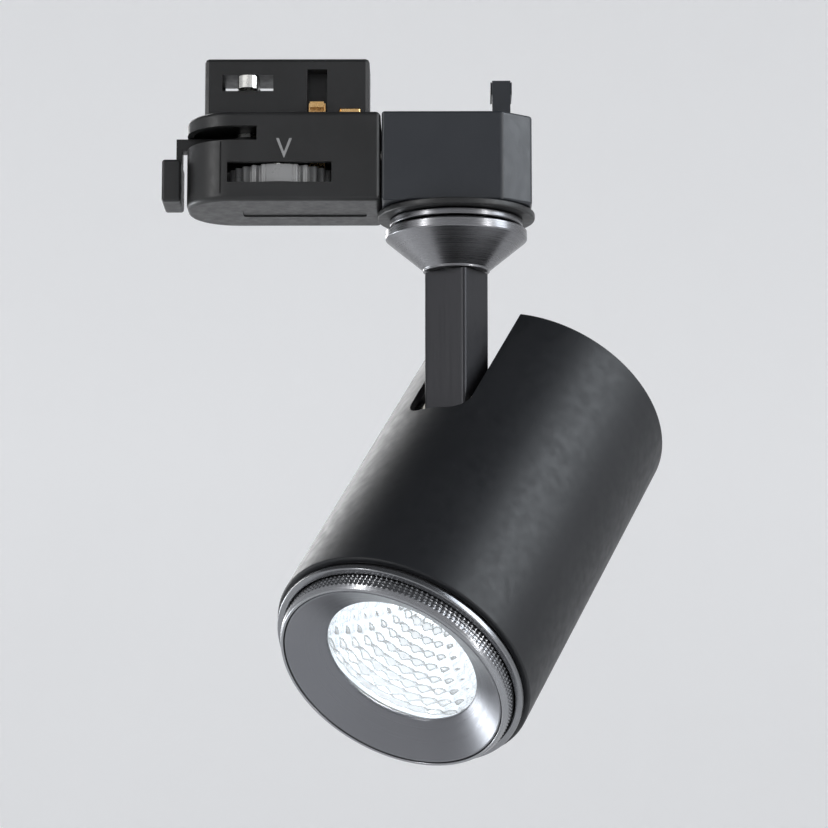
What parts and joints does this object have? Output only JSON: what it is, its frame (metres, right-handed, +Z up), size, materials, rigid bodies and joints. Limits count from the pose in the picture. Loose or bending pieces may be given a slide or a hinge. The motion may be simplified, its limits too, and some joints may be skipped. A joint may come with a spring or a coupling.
{
  "type": "track spotlight",
  "caption": "Cylindrical LED track spotlight with a three-circuit track adapter, cone swivel, square stem tilting in a slot of the head, and a knurled bezel around a faceted reflector.",
  "frame": {"origin": "on the vertical pan axis, at the flat top of the adapter's block, which seats against the underside of the lighting track", "axes": "+Z up, towards the track; X along the track and the adapter, with the swivel at the +X end; -Y towards the viewer"},
  "size_m": [0.1519, 0.1278, 0.2136],
  "materials": {
    "black_plastic": "fine satin moulded",
    "dark_paint": "matte powder coat",
    "gunmetal": "satin turned",
    "zinc_steel": "zinc plated",
    "contact_brass": "bright",
    "ivory_moulding": "moulded",
    "white_board": "smooth",
    "phosphor": "silicone",
    "grey_pad": "soft",
    "bare_alloy": "die cast",
    "bright_reflector": "mirror bright, faceted",
    "clear_glass": "clear",
    "black_rubber": "matte",
    "baffle_satin": "satin",
    "lead_jacket": "matte"
  },
  "bodies": {
    "adapter": {"adapter_body": "black_plastic", "supply_block": "dark_paint", "contact_tongue": "black_plastic", "block_lid": "dark_paint", "track_hook": "dark_paint", "neutral_contact": "contact_brass", "earth_contact_left": "contact_brass", "earth_contact_right": "contact_brass", "terminal_block": "ivory_moulding", "body_screw_1": "zinc_steel", "body_screw_2": "zinc_steel", "swivel_washer": "black_plastic", "supply_lead": "lead_jacket"},
    "lever": {"lock_lever": "black_plastic", "lock_cam": "zinc_steel"},
    "dial": {"phase_dial": "black_plastic", "dial_spindle": "zinc_steel"},
    "live_contact": {"phase_contact": "contact_brass"},
    "swivel": {"neck_ring": "gunmetal", "swivel_collar": "gunmetal", "swivel_nipple": "zinc_steel", "nipple_nut": "zinc_steel", "spring_washer": "zinc_steel", "stem": "dark_paint", "stem_lead": "lead_jacket"},
    "head": {"pivot_bolt": "zinc_steel", "pivot_nut": "zinc_steel", "friction_washer_left": "ivory_moulding", "friction_washer_right": "ivory_moulding", "pivot_bracket": "zinc_steel", "bracket_screw_1": "zinc_steel", "bracket_screw_2": "zinc_steel", "head_housing": "dark_paint", "front_ring": "dark_paint", "rear_cover": "dark_paint", "cover_screw_1": "zinc_steel", "cover_screw_2": "zinc_steel", "cover_screw_3": "zinc_steel", "heat_sink": "bare_alloy", "thermal_pad": "grey_pad", "cob_board": "white_board", "cob_emitter": "phosphor", "cob_holder": "ivory_moulding", "holder_screw_1": "zinc_steel", "holder_screw_2": "zinc_steel", "reflector": "bright_reflector", "front_glass": "clear_glass", "glass_gasket": "black_rubber", "driver_module": "white_board", "driver_lead": "lead_jacket"},
    "bezel": {"bezel_ring": "dark_paint", "glare_baffle": "baffle_satin"}
  },
  "joints": [
    {"name": "pan", "type": "hinge", "parent": "adapter", "child": "swivel", "pos_m": [0, 0, -0.0297], "axis": [0, 0, 1], "range_deg": [-175, 175]},
    {"name": "tilt", "type": "hinge", "parent": "swivel", "child": "head", "pos_m": [0, 0, -0.0896], "axis": [-0.8192, 0.5736, 0], "range_deg": [-42, 48]},
    {"name": "bezel_turn", "type": "hinge", "parent": "head", "child": "bezel", "pos_m": [-0.01608, -0.02297, -0.16528], "axis": [-0.3838, -0.5481, -0.7431], "range_deg": [0, 30]},
    {"name": "lever_turn", "type": "hinge", "parent": "adapter", "child": "lever", "pos_m": [-0.063, 0, -0.0067], "axis": [0, 0, 1], "range_deg": [0, 90]},
    {"name": "dial_turn", "type": "hinge", "parent": "adapter", "child": "dial", "pos_m": [-0.0529, 0, -0.0187], "axis": [0, 0, 1], "range_deg": [0, 270]},
    {"name": "contact_lift", "type": "slide", "parent": "adapter", "child": "live_contact", "axis": [0, 0, 1], "range_m": [0, 0.009]}
  ],
  "couplings": [
    {"joint": "contact_lift", "follows": "dial_turn", "m_per_rad": 0.0019}
  ]
}
